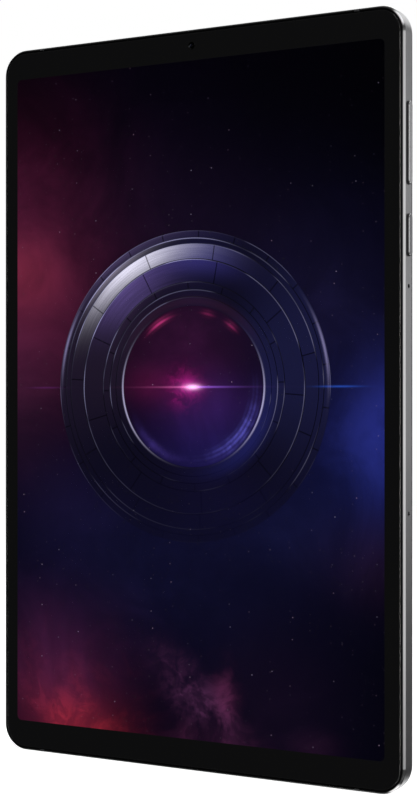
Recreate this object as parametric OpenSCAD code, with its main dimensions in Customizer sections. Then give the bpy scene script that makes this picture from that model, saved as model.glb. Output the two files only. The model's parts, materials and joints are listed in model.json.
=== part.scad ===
// Tablet computer, portrait, standing on its bottom edge.
// Every module draws its piece with the tablet lying on its back (x right, y along the
// height from the middle, z from the back face to the glass); stand() then sets it upright,
// so that the screen faces -Y, the top is at +Z and the origin is under the middle.

/* [Body] */
// Width of the body
body_w = 129.5; // [128:0.5:132]
// Height of the body
body_h = 208.5; // [207:0.5:211]
// Thickness of the body, back face to glass
body_t = 7.8; // [7.8:0.1:8.2]
// Radius of the body's four corners
corner_r = 7.3; // [6.8:0.1:8]
// Radius that rounds the back edge
back_r = 3; // [2.6:0.1:3.2]
// Thickness of the back wall
back_wall = 0.8; // [0.7:0.1:0.8]
// Thickness of the side walls
side_wall = 1.45; // [1.4:0.05:1.5]
// Width of the bright chamfer round the glass
chamfer_w = 0.5; // [0.4:0.1:0.6]
// Depth of the bright chamfer round the glass
chamfer_d = 0.8; // [0.6:0.1:0.8]

/* [Screen] */
// Width of the lit screen area
active_w = 119; // [117:0.5:119.5]
// Height of the lit screen area
active_h = 191; // [188:0.5:191.5]
// How far the lit screen area sits to the right of the middle
active_x = -0.6; // [-0.6:0.1:0.6]
// Thickness of the cover glass
glass_t = 0.7; // [0.6:0.05:0.7]
// Distance from the body's outline to the edge of the glass
glass_inset = 1.05; // [0.95:0.01:1.05]
// Radius that rounds the front edge of the glass
glass_edge_r = 0.45; // [0.3:0.05:0.5]
// Height of the front camera above the middle of the body
front_camera_y = 99.66; // [99.2:0.02:99.7]

/* [Buttons and openings] */
// Length of the volume rocker
rocker_len = 22; // [20:0.5:22]
// Height of the volume rocker's middle above the middle of the body
rocker_y = 67.8; // [67:0.2:68]
// Length of the power button
power_len = 11.2; // [10:0.2:11.4]
// Height of the power button's middle above the middle of the body
power_y = 43.5; // [43:0.5:44]
// Width of both buttons, front to back
button_w = 2.4; // [2:0.1:2.4]
// How far the buttons stand out of the side
button_proud = 0.7; // [0.4:0.1:0.7]
// Height of the two side microphone holes above and below the middle
mic_y = 30; // [29:0.5:31]

/* [Rear camera] */
// Distance of the camera island's axis from the middle of the body
island_x = 48.8; // [48.4:0.1:48.8]
// Height of the camera island's middle above the middle of the body
island_y = 82; // [81.8:0.1:82]
// Width of the camera island
island_w = 18; // [17.6:0.1:18]
// Height of the camera island
island_h = 35; // [35:0.5:36]
// Height of the camera island above the back
island_t = 0.9; // [0.7:0.1:1]

/* [Hidden] */
$fn = 64;
eps = 0.5; // how far a cutter runs past the face that it opens
stub = 0.02; // the least straight stretch between two round ends

// Half sizes of the body and of the space inside its walls
half_w = body_w / 2;
half_h = body_h / 2;
inner_w = half_w - side_wall;
inner_h = half_h - side_wall;
inner_r = corner_r - side_wall;
inner_back_r = 1.6;

// Layers, measured from the back face
rim_top = body_t - 0.2;
glass_z = body_t - glass_t;
print_z = glass_z - 0.04;
ledge_z = print_z - 0.2;
step_z = 6.45;
cell_z = [6.1, 6.84];
films_z = [5.85, 6.05];
guide_z = [5.4, 5.85];
tray_z = 5.2;
frame_z = [4.6, 5.1];
battery_y = [-60, 57];
battery_z = [1.02, 4];
board_z = [1.9, 2.7];
sub_board_z = [1.2, 2];

// Rim of the front: pocket in the housing, trim ring and glass
pocket_inset = 0.75;
trim_inset = 0.8;
trim_lip = 0.14;
trim_ledge = 1.2;

// Display stack: the cell's lower sheet reaches further down than its upper sheet, which
// leaves a shelf for the driver chip
active_r = 1.5;
camera_window_r = 1.05;
cell_half_w = 60.4;
cell_y = [-98.2, 96];
shelf_y = -96;
shelf_z = 6.45;
sheet_x = [-60.6, 60.6];
sheet_y = [-95, 96.3];
flex_t = 0.12;
tray_half_w = 61.2;
tray_y = [-99.5, 96.9];
tray_wall = 0.3;

// Buttons, seen from the side: height of their axis above the back, gap round them
button_z = 4.9;
button_gap = 0.1;
button_edge_r = 0.3;
flange_x = [inner_w - 1.1, inner_w - 0.35];
plunger_z = 4.2;
plunger_reach = 0.35;
switch_spread = 7;
bracket_y = [power_y - 7, rocker_y + 12.5];

// Plastic bands across the top and bottom edges
band_x = 51;
band_w = 1.4;
band_reach = 3;

// Round holes in the side and end walls
hole_z = 4.8;
mic_r = 0.6;
speaker_hole_r = 0.6;
speaker_hole_gap = 2.2;
speaker_holes = 10;
speaker_x = 37;
window_at = [-9, 97.4];
window_size = [90, 6];
usb_z = 3.6;
usb_recess = 0.9;
usb_length = 7.2;
usb_opening = [9.2, 3.3];
usb_shell = [8.94, 3.1];
usb_mouth = [8.34, 2.56];
usb_tongue = [6.68, 0.7];
usb_back_wall = 0.6;

// Camera island: the main lens, flash and macro lens stand in a column on its axis
main_lens_y = island_y + (island_h - island_w) / 2;
macro_lens_y = island_y - (island_h - island_w) / 2;
main_ring_r = 5.4;
macro_ring_r = 4;
main_glass_r = 4.3;
macro_glass_r = 3;
flash_r = 1.7;
island_edge_r = 0.5;
island_lip = 1;
island_floor = -0.5;
ring_proud = 0.4;
barrel_r = 2.9;

// Screws that hold the middle frame, and the ones that hold the boards
frame_screw_at = [
    [-59.5, 98.3], [59.3, 98.3], [59.8, 85], [-61, 63.8], [60.6, 20], [-61, 0],
    [60.6, -20], [-61, -63.8], [60.6, -63.8], [-58.8, -98.3], [58.8, -98.3]
];
frame_bore_r = 0.75;
board_bore_r = 0.6;
board_hole_r = 0.75;
board_screw_at = [[-52.5, 85], [-52.5, 68.5], [34.5, 92], [34.5, 68.5]];
sub_screw_at = [[-30.5, -97.5], [15.5, -91]];

// Boxes that several pieces share
speaker_box = [34, 11.2];
haptic_at = [-46.5, -95];
haptic_size = [20, 8.6];
haptic_z = [0.95, 4.1];
haptic_travel = 0.5;

// Sets a piece that was drawn lying on its back upright on the bottom edge
module stand()
    translate([0, body_t / 2, half_h])
        rotate([90, 0, 0])
            children();

// A box between two corners
module box(x, y, z)
    translate([x[0], y[0], z[0]])
        cube([x[1] - x[0], y[1] - y[0], z[1] - z[0]]);

module disc(at, r, z)
    translate([at[0], at[1], z[0]])
        cylinder(h = z[1] - z[0], r = r);

// A rectangle with round corners, about the origin
module round_rect(w, h, r) {
    square([w - 2 * r, h], center = true);
    square([w, h - 2 * r], center = true);
    for (x = [-1, 1], y = [-1, 1])
        translate([x * (w / 2 - r), y * (h / 2 - r)])
            circle(r);
}

module round_plate(w, h, r, z, at = [0, 0])
    translate([at[0], at[1], z[0]])
        linear_extrude(z[1] - z[0])
            round_rect(w, h, r);

// A slot with round ends, long along its first size
module slot_outline(length, width) {
    square([length - width, width], center = true);
    for (x = [-1, 1])
        translate([x * (length - width) / 2, 0])
            circle(width / 2);
}

// Half of a slab's section, from the axis of its corner outwards: the back edge is round,
// and the front edge may have a chamfer
module rim_section(r, back, z, chamfer) {
    difference() {
        union() {
            translate([0, z[0]])
                square([r - back, z[1] - z[0]]);
            translate([r - back, z[0] + back])
                square([back, z[1] - z[0] - back]);
            intersection() {
                translate([r - back, z[0] + back])
                    circle(back);
                translate([r - back, z[0]])
                    square([back, back]);
            }
        }
        if (chamfer[0] > 0)
            polygon([
                [r - chamfer[0], z[1]], [r, z[1] - chamfer[1]],
                [r + eps, z[1] - chamfer[1]], [r + eps, z[1] + eps],
                [r - chamfer[0], z[1] + eps]
            ]);
    }
}

// A slab with round corners whose edge follows rim_section all the way round
module pan(half, r, back, z, chamfer = [0, 0]) {
    box([r - half[0], half[0] - r], [r - half[1], half[1] - r], z);
    for (turn = [0, 180])
        rotate(turn) {
            translate([half[0] - r, half[1] - r, 0])
                rotate([90, 0, 0])
                    linear_extrude(2 * (half[1] - r))
                        rim_section(r, back, z, chamfer);
            rotate(90)
                translate([half[1] - r, half[0] - r, 0])
                    rotate([90, 0, 0])
                        linear_extrude(2 * (half[0] - r))
                            rim_section(r, back, z, chamfer);
            translate([half[0] - r, half[1] - r, 0])
                rotate_extrude(angle = 90)
                    rim_section(r, back, z, chamfer);
            rotate(90)
                translate([half[1] - r, half[0] - r, 0])
                    rotate_extrude(angle = 90)
                        rim_section(r, back, z, chamfer);
        }
}

// Cuts through a side or end wall
module side_hole(y, z, r)
    translate([inner_w - eps, y, z])
        rotate([0, 90, 0])
            cylinder(h = side_wall + 2 * eps, r = r);

module end_hole(x, side, r)
    translate([x, side * (half_h - side_wall - eps), hole_z])
        rotate([-90 * side, 0, 0])
            cylinder(h = side_wall + 2 * eps, r = r);

module button_slot(y, length)
    translate([inner_w - eps, y, button_z])
        rotate([90, 0, 90])
            linear_extrude(side_wall + 2 * eps)
                slot_outline(length + 2 * button_gap, button_w + 2 * button_gap);

// ---------------------------------------------------------------- casing

module boss(at, r, top, bore)
    difference() {
        disc(at, r, [back_wall / 2, top]);
        disc(at, bore, [back_wall + eps, top + eps]);
    }

// The bare tray: back wall and side walls, before its openings
module tray()
    difference() {
        pan([half_w, half_h], corner_r, back_r, [0, rim_top], [chamfer_w, chamfer_d]);
        pan([inner_w, inner_h], inner_r, inner_back_r, [back_wall, step_z]);
        round_plate(
            body_w - 2 * pocket_inset, body_h - 2 * pocket_inset,
            corner_r - pocket_inset, [step_z, rim_top + eps]
        );
    }

// Two short slabs across the top edge and two across the bottom edge
module band_slabs(gap)
    for (side = [-1, 1], x = [-band_x, band_x])
        translate([x, side * half_h, 0])
            box(
                [-band_w / 2 - gap, band_w / 2 + gap],
                [-band_reach - gap, band_reach + gap], [-eps, body_t]
            );

// Plastic breaks in the metal edge, flush with it
module antenna_bands()
    color("darkslategray") stand()
        intersection() {
            tray();
            band_slabs(0);
        }

module housing()
    color("dimgray") stand() {
        difference() {
            tray();
            band_slabs(0.02);
            button_slot(rocker_y, rocker_len);
            button_slot(power_y, power_len);
            for (y = [-mic_y, mic_y])
                side_hole(y, hole_z, mic_r);
            for (side = [-1, 1], i = [0:speaker_holes - 1])
                end_hole(
                    -side * speaker_x + (i - (speaker_holes - 1) / 2) * speaker_hole_gap,
                    side, speaker_hole_r
                );
            translate([0, -inner_h + eps, usb_z])
                rotate([90, 0, 0])
                    linear_extrude(side_wall + 2 * eps)
                        slot_outline(usb_opening[0], usb_opening[1]);
            window_plate(0.03, [-eps, back_wall + eps]);
            island_outline(-0.03, [-eps, back_wall + eps]);
        }
        for (at = frame_screw_at)
            boss(at, 1.9, frame_z[0], frame_bore_r);
        for (at = board_screw_at)
            boss(at, 1.8, board_z[0], board_bore_r);
        for (at = sub_screw_at)
            boss(at, 1.6, sub_board_z[0], board_bore_r);
    }

// The long slot in the back wall that lets the radio through, grown by a gap
module window_plate(gap, z)
    translate([window_at[0], window_at[1], z[0]])
        linear_extrude(z[1] - z[0])
            slot_outline(window_size[0] + 2 * gap, window_size[1] + 2 * gap);

module antenna_window()
    color("darkslategray") stand() window_plate(0, [0, back_wall]);

module island_outline(inset, z)
    translate([island_x, island_y, z[0]])
        linear_extrude(z[1] - z[0])
            rotate(90)
                slot_outline(island_h - 2 * inset, island_w - 2 * inset);

module island_openings(z) {
    disc([island_x, main_lens_y], main_glass_r + 0.3, z);
    disc([island_x, macro_lens_y], macro_glass_r + 0.2, z);
    disc([island_x, island_y], flash_r + 0.3, z);
}

module camera_island()
    color("gray") stand() difference() {
        translate([island_x, island_y, 0])
            pan(
                [island_w / 2, island_h / 2], island_w / 2 - stub, island_edge_r,
                [-island_t, back_wall]
            );
        island_outline(island_lip, [-island_t - eps, island_floor]);
        island_openings([-1, 1]);
    }

module camera_window()
    color("black") stand() difference() {
        island_outline(island_lip + 0.03, [-island_t + 0.03, island_floor]);
        island_openings([-island_t, 0]);
    }

// A ring round a lens: a turned section with a small bevel at its mouth
module lens_ring(at, outer, inner)
    translate([at[0], at[1], 0])
        rotate_extrude()
            polygon([
                [inner, -island_t + 0.03], [inner, -island_t - ring_proud + 0.2],
                [inner + 0.2, -island_t - ring_proud], [outer - 0.15, -island_t - ring_proud],
                [outer, -island_t - ring_proud + 0.15], [outer, -island_t + 0.03]
            ]);

module lens_rings()
    color("silver") stand() {
        lens_ring([island_x, main_lens_y], main_ring_r, main_glass_r);
        lens_ring([island_x, macro_lens_y], macro_ring_r, macro_glass_r);
    }

module lens_covers()
    color("darkslateblue") stand() {
        disc([island_x, main_lens_y], main_glass_r - 0.03, [-island_t - 0.1, -island_t + 0.3]);
        disc([island_x, macro_lens_y], macro_glass_r - 0.03, [-island_t - 0.1, -island_t + 0.3]);
    }

module flash_lens()
    color("lightyellow") stand()
        disc([island_x, island_y], flash_r, [-island_t + 0.03, 0.6]);

// ---------------------------------------------------------------- front

module front_trim_ring()
    color("black") stand() difference() {
        round_plate(
            body_w - 2 * trim_inset, body_h - 2 * trim_inset, corner_r - trim_inset,
            [step_z, rim_top - 0.1]
        );
        round_plate(
            body_w - 2 * (trim_inset + trim_lip), body_h - 2 * (trim_inset + trim_lip),
            corner_r - trim_inset - trim_lip, [ledge_z, rim_top + eps]
        );
        round_plate(
            body_w - 2 * (trim_inset + trim_lip + trim_ledge),
            body_h - 2 * (trim_inset + trim_lip + trim_ledge),
            corner_r - trim_inset - trim_lip - trim_ledge, [step_z - eps, rim_top]
        );
    }

module glass_outline(inset, z)
    round_plate(
        body_w - 2 * (glass_inset + inset), body_h - 2 * (glass_inset + inset),
        corner_r - glass_inset - inset, z
    );

// The front edge of the glass is rounded over
module cover_glass()
    color("lightsteelblue", 0.4) stand()
        translate([0, 0, body_t])
            mirror([0, 0, 1])
                pan(
                    [half_w - glass_inset, half_h - glass_inset], corner_r - glass_inset,
                    glass_edge_r, [0, glass_t]
                );

module bezel_print()
    color("black") stand() difference() {
        glass_outline(0.1, [print_z, glass_z]);
        round_plate(
            active_w, active_h, active_r, [print_z - eps, glass_z + eps], [active_x, 0]
        );
        disc([0, front_camera_y], camera_window_r, [print_z - eps, glass_z + eps]);
    }

module glass_adhesive()
    color("dimgray") stand() difference() {
        glass_outline(0.15, [ledge_z, print_z]);
        glass_outline(trim_ledge, [ledge_z - eps, print_z + eps]);
    }

// ---------------------------------------------------------------- display

module touch_sensor()
    color("aliceblue", 0.3) stand()
        round_plate(124, 197.8, 5.2, [cell_z[1] + 0.02, print_z], [0, -2.1]);

module lcd_cell()
    color("midnightblue") stand() {
        box([-cell_half_w, cell_half_w], cell_y, [cell_z[0], shelf_z]);
        box([-cell_half_w, cell_half_w], [shelf_y, cell_y[1]], [shelf_z, cell_z[1]]);
    }

module display_driver_chip()
    color("black") stand()
        box([-15, 15], [shelf_y - 1.6, shelf_y - 0.5], [shelf_z, shelf_z + 0.3]);

// Flat cable that leaves the edge of the cell and folds round to the back of the frame
module display_flex()
    color("darkorange") stand()
        translate([-30, 0, 0])
            rotate([90, 0, 90])
                linear_extrude(20)
                    polygon([
                        [cell_y[0], 6.25], [-100, 6.25], [-100, 4.2], [-89, 4.2],
                        [-89, 4.2 + flex_t], [-100 + flex_t, 4.2 + flex_t],
                        [-100 + flex_t, 6.25 - flex_t], [cell_y[0], 6.25 - flex_t]
                    ]);

module diffuser_films()
    color("white") stand() box(sheet_x, sheet_y, films_z);

module light_guide()
    color("honeydew") stand() box(sheet_x, sheet_y, guide_z);

module reflector_sheet()
    color("whitesmoke") stand()
        box([-60.7, 60.7], [-98.9, 96.4], [tray_z + 0.15, guide_z[0]]);

// A strip with a row of light-emitting diodes that face the guide's lower edge
module led_strip()
    color("khaki") stand() {
        box([-58, 58], [-98.8, -96.2], [guide_z[0], guide_z[0] + 0.12]);
        for (i = [0:23])
            translate([-54.05 + i * 4.7, -96.9, guide_z[0] + 0.12])
                translate([-1.5, 0, 0])
                    cube([3, 0.7, 0.35]);
    }

module backlight_tray()
    color("silver") stand() difference() {
        box([-tray_half_w, tray_half_w], tray_y, [tray_z, films_z[1]]);
        box(
            [tray_wall - tray_half_w, tray_half_w - tray_wall],
            [tray_y[0] + tray_wall, tray_y[1] - tray_wall],
            [tray_z + 0.15, films_z[1] + eps]
        );
    }

// ---------------------------------------------------------------- middle frame

module mid_frame()
    color("slategray") stand() difference() {
        round_plate(2 * inner_w - 0.4, 2 * inner_h - 0.4, inner_r - 0.2, frame_z);
        for (at = frame_screw_at) {
            disc(at, frame_bore_r, [frame_z[0] - eps, frame_z[1]]);
            disc(at, 1.35, [frame_z[0] + 0.25, frame_z[1] + eps]);
        }
        // window for the front camera, slot for the display cable, room for the USB shell
        box([-2.7, 2.7], [front_camera_y - 2.7, half_h], [frame_z[0] - eps, frame_z[1] + eps]);
        box([-30.5, -9.5], [-100.6, -99.4], [frame_z[0] - eps, frame_z[1] + eps]);
        box(
            [-4.8, 4.8], [-half_h, -half_h + usb_recess + usb_length + 0.4],
            [frame_z[0] - eps, frame_z[1] + eps]
        );
        // room for the buttons and microphones at the edge
        for (y = [[power_y - 8, rocker_y + 13], [mic_y - 2.4, mic_y + 2.4],
                [-mic_y - 2.4, -mic_y + 2.4]])
            box([inner_w - 3.2, half_w], y, [frame_z[0] - eps, frame_z[1] + eps]);
        // notches for the dust meshes of the speakers
        for (side = [-1, 1])
            translate([-side * speaker_x, side * half_h, 0])
                box([-12.5, 12.5], [-2.2, 2.2], [frame_z[0] - eps, frame_z[1] + eps]);
    }

// A small screw with a flat head and a cross recess
module screw(at, head, shaft, z)
    translate([at[0], at[1], 0])
        difference() {
            union() {
                disc([0, 0], shaft, [z[0], z[1]]);
                disc([0, 0], head, [z[1], z[2]]);
            }
            for (turn = [0, 90])
                rotate(turn)
                    box([-0.55, 0.55], [-0.12, 0.12], [z[2] - 0.2, z[2] + eps]);
        }

module frame_screws()
    color("silver") stand()
        for (at = frame_screw_at)
            screw(at, 1.25, 0.7, [1.5, frame_z[0] + 0.25, frame_z[1] - 0.05]);

module vapor_chamber()
    color("peru") stand() round_plate(76, 76, 6, [4.12, 4.38], [-7, 50]);

module graphite_sheet()
    color("black") stand() box([-57, 56], [-58, 56], [back_wall + 0.02, 0.9]);

// ---------------------------------------------------------------- power

module battery_cell(x) {
    box(x, battery_y, battery_z);
    for (side = [0.3, 0.6])
        translate([x[0] + (x[1] - x[0]) * side, battery_y[1], 2.2])
            cube([4, 0.9, 0.2]);
}

module battery_cell_left()
    color("darkgray") stand() battery_cell([-58.5, -3]);

module battery_cell_right()
    color("darkgray") stand() battery_cell([1, 56.5]);

module battery_adhesive()
    color("mintcream") stand()
        for (x = [-52, -20, 8, 40])
            box([x, x + 10], [-55, 50], [0.9, battery_z[0]]);

module battery_board()
    color("darkgreen") stand() {
        box([-50, 50], [58.1, 61.8], [1.6, 2.2]);
        for (x = [-42, -14, 10, 34])
            box([x, x + 6], [58.6, 61.3], [2.2, 3.1]);
    }

// ---------------------------------------------------------------- electronics

module mainboard()
    color("darkgreen") stand() difference() {
        union() {
            box([-56, 38], [65, 88.8], board_z);
            box([-17, 38], [88.8, 96], board_z);
        }
        for (at = board_screw_at)
            disc(at, board_hole_r, [board_z[0] - eps, board_z[1] + eps]);
    }

module board_screws()
    color("silver") stand() {
        for (at = board_screw_at)
            screw(at, 1.3, 0.55, [1.4, board_z[1], board_z[1] + 0.45]);
        for (at = sub_screw_at)
            screw(at, 1.3, 0.5, [0.85 + eps, sub_board_z[1], sub_board_z[1] + 0.45]);
    }

module soc_chip()
    color("dimgray") stand() box([-16, -2], [72, 86], [board_z[1], 3.5]);

module storage_chip()
    color("dimgray") stand() box([2, 13.5], [72, 85], [board_z[1], 3.6]);

module thermal_pad()
    color("lightpink") stand() box([-15, -3], [73, 85], [3.5, 3.83]);

// A tin lid over the chips: four walls and a top
module shield_can(x, y, top)
    difference() {
        box(x, y, [board_z[1], top]);
        box([x[0] + 0.2, x[1] - 0.2], [y[0] + 0.2, y[1] - 0.2], [board_z[1] - eps, top - 0.17]);
    }

module soc_shield()
    color("lightgray") stand() shield_can([-20, 18], [69, 88], 4);

module rf_shield()
    color("lightgray") stand() shield_can([-48, -24], [68, 87], 3.9);

module sub_board()
    color("darkgreen") stand() difference() {
        box([-34, 19], [-101, -87], sub_board_z);
        for (at = sub_screw_at)
            disc(at, board_hole_r, [sub_board_z[0] - eps, sub_board_z[1] + eps]);
    }

// Flat cable between the two boards, in the channel between the battery cells
module link_flex()
    color("darkorange") stand() {
        box([-2.7, 0.7], [-87, 65], [1, 1.15]);
        box([-6, 4], [-91, -87], [1, 1.15]);
        box([-6, 4], [65, 69], [1, 1.15]);
    }

module usb_c_shell()
    color("silver") stand()
        translate([0, -half_h + usb_recess, usb_z])
            rotate([-90, 0, 0])
                difference() {
                    linear_extrude(usb_length)
                        slot_outline(usb_shell[0], usb_shell[1]);
                    translate([0, 0, -eps])
                        linear_extrude(usb_length - usb_back_wall + eps)
                            slot_outline(usb_mouth[0], usb_mouth[1]);
                }

module usb_c_tongue()
    color("black") stand()
        translate([0, -half_h + usb_recess, usb_z])
            box(
                [-usb_tongue[0] / 2, usb_tongue[0] / 2], [0.8, usb_length - usb_back_wall],
                [-usb_tongue[1] / 2, usb_tongue[1] / 2]
            );

module wifi_antennas()
    color("goldenrod") stand() {
        box([4, 38], [97.4, 101.6], [1, 3.6]);
        box([-16, -4], [97.4, 101.6], [1, 3.6]);
    }

// ---------------------------------------------------------------- sound

// A closed speaker box with an oval cone frame on its front
module speaker(at, size)
    translate([at[0], at[1], 0]) {
        box([-size[0] / 2, size[0] / 2], [-size[1] / 2, size[1] / 2], [1, 3.6]);
        translate([0, 0, 3.6])
            linear_extrude(0.4)
                slot_outline(size[0] - 4, size[1] - 2);
    }

module speaker_top()
    color("black") stand() speaker([-speaker_x, inner_h - 1 - speaker_box[1] / 2], speaker_box);

module speaker_bottom()
    color("black") stand() speaker([speaker_x + 1.2, -inner_h + 11], [speaker_box[0], 20]);

// Dust meshes behind the rows of speaker holes
module speaker_meshes()
    color("gray") stand()
        for (side = [-1, 1])
            translate([-side * speaker_x, side * (inner_h - 0.2), hole_z])
                rotate([90, 0, 0])
                    translate([0, 0, -0.15])
                        linear_extrude(0.3)
                            slot_outline(speaker_holes * speaker_hole_gap + 1, 2.6);

module microphones()
    color("gold") stand()
        for (y = [-mic_y, mic_y])
            box([inner_w - 1.9, inner_w - 0.9], [y - 1.75, y + 1.75], [3.4, 6.2]);

module mic_gaskets()
    color("black") stand()
        for (y = [-mic_y, mic_y])
            difference() {
                box([inner_w - 0.9, inner_w], [y - 1.5, y + 1.5], [3.5, 6.1]);
                side_hole(y, hole_z, mic_r);
            }

// ---------------------------------------------------------------- haptic motor

module haptic_box(inset, z)
    box(
        [haptic_at[0] - haptic_size[0] / 2 + inset, haptic_at[0] + haptic_size[0] / 2 - inset],
        [haptic_at[1] - haptic_size[1] / 2 + inset, haptic_at[1] + haptic_size[1] / 2 - inset],
        z
    );

// The can and its lid
module haptic_can()
    color("silver") stand() {
        difference() {
            haptic_box(0, [haptic_z[0], haptic_z[1] - 0.2]);
            haptic_box(0.3, [haptic_z[0] + 0.3, haptic_z[1]]);
        }
        haptic_box(0, [haptic_z[1] - 0.2, haptic_z[1]]);
    }

// The weight that slides from side to side, clear of the can on every side
module haptic_mass()
    color("dimgray") stand()
        box(
            [haptic_at[0] - haptic_size[0] / 2 + 0.5 + haptic_travel,
                haptic_at[0] + haptic_size[0] / 2 - 0.5 - haptic_travel],
            [haptic_at[1] - haptic_size[1] / 2 + 0.6, haptic_at[1] + haptic_size[1] / 2 - 0.6],
            [haptic_z[0] + 0.6, haptic_z[1] - 0.5]
        );

// ---------------------------------------------------------------- cameras and sensors

module front_camera()
    color("black") stand() difference() {
        union() {
            box([-2.4, 2.4], [front_camera_y - 2.4, front_camera_y + 2.4], [4.5, 6.5]);
            disc([0, front_camera_y], 1.9, [6.5, 7]);
        }
        disc([0, front_camera_y], 1, [6.2, 7 + eps]);
    }

module front_camera_lens()
    color("midnightblue") stand() disc([0, front_camera_y], 0.97, [6.25, 6.9]);

module main_camera_holder()
    color("black") stand()
        translate([island_x, main_lens_y, 0])
            difference() {
                union() {
                    box([-5.25, 5.25], [-5.25, 5.25], [0.9, 4.3]);
                    disc([0, 0], 4.2, [-0.3, 0.9]);
                }
                disc([0, 0], barrel_r + 0.1, [-1, 3.7]);
            }

module autofocus_lens()
    color("darkslateblue") stand()
        disc([island_x, main_lens_y], barrel_r, [-0.1, 3.4]);

module macro_camera()
    color("black") stand()
        translate([island_x, macro_lens_y, 0]) {
            box([-3.75, 3.75], [-3.75, 3.75], [0.9, 3.9]);
            disc([0, 0], 2.8, [-0.3, 0.9]);
        }

module flash_led()
    color("khaki") stand()
        box([island_x - 1.6, island_x + 1.6], [island_y - 1.6, island_y + 1.6], [0.85, 1.5]);

module light_sensor()
    color("black") stand()
        box([8, 10.2], [front_camera_y - 1.1, front_camera_y + 1.1], [frame_z[1], 6.7]);

// ---------------------------------------------------------------- buttons

// A side button: cap with a rounded edge, retaining flange and plungers, along +x
module side_button(y, length, plungers) {
    cap = half_w + button_proud;
    translate([cap, y, button_z])
        rotate([90, 0, -90])
            pan(
                [length / 2, button_w / 2], button_w / 2 - stub, button_edge_r,
                [0, cap - flange_x[1] + 0.1]
            );
    box(flange_x, [y - length / 2 - 0.7, y + length / 2 + 0.7], [3.7, 6.35]);
    for (offset = plungers)
        translate([flange_x[0] - plunger_reach, y + offset, plunger_z])
            rotate([0, 90, 0])
                cylinder(h = plunger_reach + 0.1, r = 0.5);
}

module volume_rocker()
    color("dimgray") stand() side_button(rocker_y, rocker_len, [-switch_spread, switch_spread]);

module power_button()
    color("dimgray") stand() side_button(power_y, power_len, [0]);

// Dome switches on the bracket, one under each plunger
module side_switches()
    color("gainsboro") stand()
        for (y = [rocker_y - switch_spread, rocker_y + switch_spread, power_y])
            translate([inner_w - 2.6, y, plunger_z]) {
                box([0, 0.6], [-1.8, 1.8], [-0.9, 0.9]);
                translate([0.6, 0, 0])
                    rotate([0, 90, 0])
                        cylinder(h = 0.2, r = 0.8);
            }

module switch_bracket()
    color("silver") stand() {
        box([inner_w - 2.9, inner_w - 2.6], bracket_y, [0.95, 5]);
        box([inner_w - 4.6, inner_w - 2.9], bracket_y, [0.95, 1.25]);
    }

module button_flex()
    color("darkorange") stand() {
        box([inner_w - 3.1, inner_w - 2.9], [power_y - 6, rocker_y + 11.5], [1.4, 4.9]);
        box([38.5, inner_w - 3.1], [62.6, 65.8], [1.4, 1.6]);
    }

housing();
antenna_window();
antenna_bands();
camera_island();
camera_window();
lens_rings();
lens_covers();
flash_lens();
front_trim_ring();
cover_glass();
bezel_print();
glass_adhesive();
touch_sensor();
lcd_cell();
display_driver_chip();
display_flex();
diffuser_films();
light_guide();
reflector_sheet();
led_strip();
backlight_tray();
mid_frame();
frame_screws();
vapor_chamber();
graphite_sheet();
battery_cell_left();
battery_cell_right();
battery_adhesive();
battery_board();
mainboard();
board_screws();
soc_chip();
storage_chip();
thermal_pad();
soc_shield();
rf_shield();
sub_board();
link_flex();
usb_c_shell();
usb_c_tongue();
speaker_top();
speaker_bottom();
speaker_meshes();
haptic_can();
haptic_mass();
front_camera();
front_camera_lens();
main_camera_holder();
autofocus_lens();
macro_camera();
flash_led();
light_sensor();
microphones();
mic_gaskets();
volume_rocker();
power_button();
side_switches();
switch_bracket();
button_flex();
wifi_antennas();
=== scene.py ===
"""Tablet computer: finishes, the picture on the screen, small parts and the studio.

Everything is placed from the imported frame, in metres: x to the viewer's right, z up
along the height, and the screen faces -y.
"""

import json
import math

import bmesh
import bpy
from mathutils import Matrix, Vector


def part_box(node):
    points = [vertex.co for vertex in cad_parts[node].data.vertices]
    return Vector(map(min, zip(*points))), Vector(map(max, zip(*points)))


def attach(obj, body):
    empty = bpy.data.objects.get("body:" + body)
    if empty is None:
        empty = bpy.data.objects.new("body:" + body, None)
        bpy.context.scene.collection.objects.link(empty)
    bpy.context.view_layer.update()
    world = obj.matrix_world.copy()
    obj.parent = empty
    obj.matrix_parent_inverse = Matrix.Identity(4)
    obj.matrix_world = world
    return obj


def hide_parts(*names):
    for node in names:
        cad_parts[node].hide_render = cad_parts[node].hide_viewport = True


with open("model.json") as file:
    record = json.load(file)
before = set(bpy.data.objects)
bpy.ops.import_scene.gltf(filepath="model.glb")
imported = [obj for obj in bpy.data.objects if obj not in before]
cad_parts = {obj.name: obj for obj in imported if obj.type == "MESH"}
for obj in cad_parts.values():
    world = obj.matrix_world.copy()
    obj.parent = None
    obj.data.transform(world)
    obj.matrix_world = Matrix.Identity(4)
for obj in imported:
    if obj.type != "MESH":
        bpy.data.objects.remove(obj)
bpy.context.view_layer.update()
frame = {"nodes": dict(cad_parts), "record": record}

MM = 0.001
CASE = "case"
WHITE = (1.0, 1.0, 1.0, 1.0)

housing_low, housing_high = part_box("housing")
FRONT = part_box("cover_glass")[0][1]
MID_HEIGHT = (housing_low[2] + housing_high[2]) / 2


# ---------------------------------------------------------------- node graphs


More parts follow.
